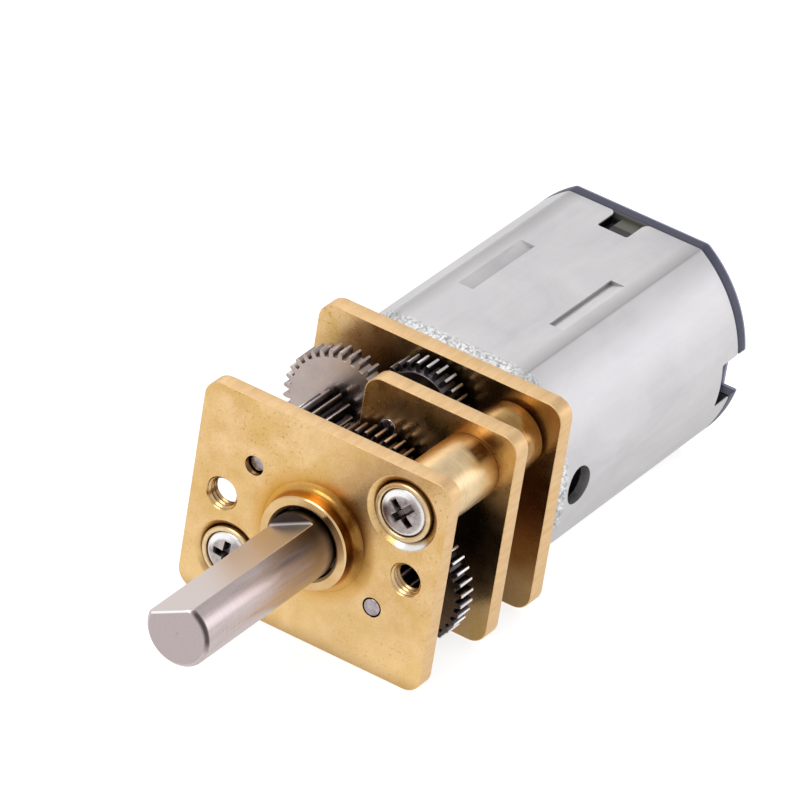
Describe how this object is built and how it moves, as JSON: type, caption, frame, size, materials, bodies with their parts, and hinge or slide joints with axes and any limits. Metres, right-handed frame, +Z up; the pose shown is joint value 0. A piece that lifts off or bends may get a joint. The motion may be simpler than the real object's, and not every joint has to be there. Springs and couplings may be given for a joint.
{
  "type": "geared dc motor",
  "caption": "Micro geared DC motor: a flat-sided can motor behind an open brass spur gearbox, with a D-shaped output shaft and threaded face mounting holes.",
  "frame": {"origin": "on the output shaft's axis, in the front face of the front plate, midway between the two threaded mounting holes", "axes": "+X to the right along the line of the mounting holes, +Y back from the front plate towards the motor, +Z up; the output shaft points along -Y"},
  "size_m": [0.012, 0.0364, 0.01],
  "materials": {
    "plate_brass": "satin",
    "turned_brass": "polished",
    "screw_steel": "satin",
    "pin_steel": "satin",
    "shaft_steel": "satin",
    "gear_steel": "satin",
    "can_steel": "satin",
    "bronze": "matte",
    "ferrite": "matte",
    "cap_plastic": "matte",
    "terminal_brass": "satin",
    "copper": "satin",
    "core_steel": "satin",
    "hub_plastic": "matte",
    "washer_plastic": "matte"
  },
  "bodies": {
    "housing": {"front_plate": "plate_brass", "middle_plate": "plate_brass", "rear_plate": "plate_brass", "front_spacers": "turned_brass", "rear_spacers": "turned_brass", "gearbox_screws": "screw_steel", "motor_screws": "screw_steel", "upper_pin_axle": "pin_steel", "lower_pin_axle": "pin_steel", "first_pin_axle": "pin_steel", "output_bushing": "turned_brass", "thrust_washer": "pin_steel", "motor_can": "can_steel", "front_bearing": "bronze", "magnets": "ferrite", "end_cap": "cap_plastic", "rear_bearing": "bronze", "terminals": "terminal_brass", "brush_arms": "copper"},
    "output": {"output_shaft": "shaft_steel", "output_wheel_gear": "gear_steel"},
    "lower_cluster": {"lower_wheel_gear": "gear_steel", "lower_pinion": "gear_steel"},
    "idler_cluster": {"idler_wheel_gear": "gear_steel", "idler_pinion": "gear_steel"},
    "upper_cluster": {"upper_wheel_gear": "gear_steel", "upper_pinion": "gear_steel"},
    "first_cluster": {"first_wheel_gear": "gear_steel", "first_pinion": "gear_steel"},
    "rotor": {"motor_pinion": "turned_brass", "rotor_shaft": "pin_steel", "lamination_stack": "core_steel", "windings": "copper", "commutator_hub": "hub_plastic", "commutator_segments": "copper", "rotor_washers": "washer_plastic"}
  },
  "joints": [
    {"name": "output_spin", "type": "hinge", "parent": "housing", "child": "output", "pos_m": [0, 0.00175, 0], "axis": [0, 1, 0], "continuous": true},
    {"name": "lower_cluster_spin", "type": "hinge", "parent": "housing", "child": "lower_cluster", "pos_m": [0.0032, 0.0025, -0.00195], "axis": [0, 1, 0], "continuous": true},
    {"name": "idler_spin", "type": "hinge", "parent": "housing", "child": "idler_cluster", "pos_m": [0, 0.0037, 0], "axis": [0, 1, 0], "continuous": true},
    {"name": "upper_cluster_spin", "type": "hinge", "parent": "housing", "child": "upper_cluster", "pos_m": [-0.0032, 0.0065, 0.00195], "axis": [0, 1, 0], "continuous": true},
    {"name": "first_cluster_spin", "type": "hinge", "parent": "housing", "child": "first_cluster", "pos_m": [-0.00007, 0.0075, 0.003], "axis": [0, 1, 0], "continuous": true},
    {"name": "rotor_spin", "type": "hinge", "parent": "housing", "child": "rotor", "pos_m": [0, 0.016, 0], "axis": [0, 1, 0], "continuous": true}
  ],
  "couplings": [
    {"joint": "lower_cluster_spin", "follows": "output_spin", "ratio": -4},
    {"joint": "idler_spin", "follows": "output_spin", "ratio": 8.5},
    {"joint": "upper_cluster_spin", "follows": "output_spin", "ratio": -34},
    {"joint": "first_cluster_spin", "follows": "output_spin", "ratio": 115.6},
    {"joint": "rotor_spin", "follows": "output_spin", "ratio": -192.67}
  ]
}
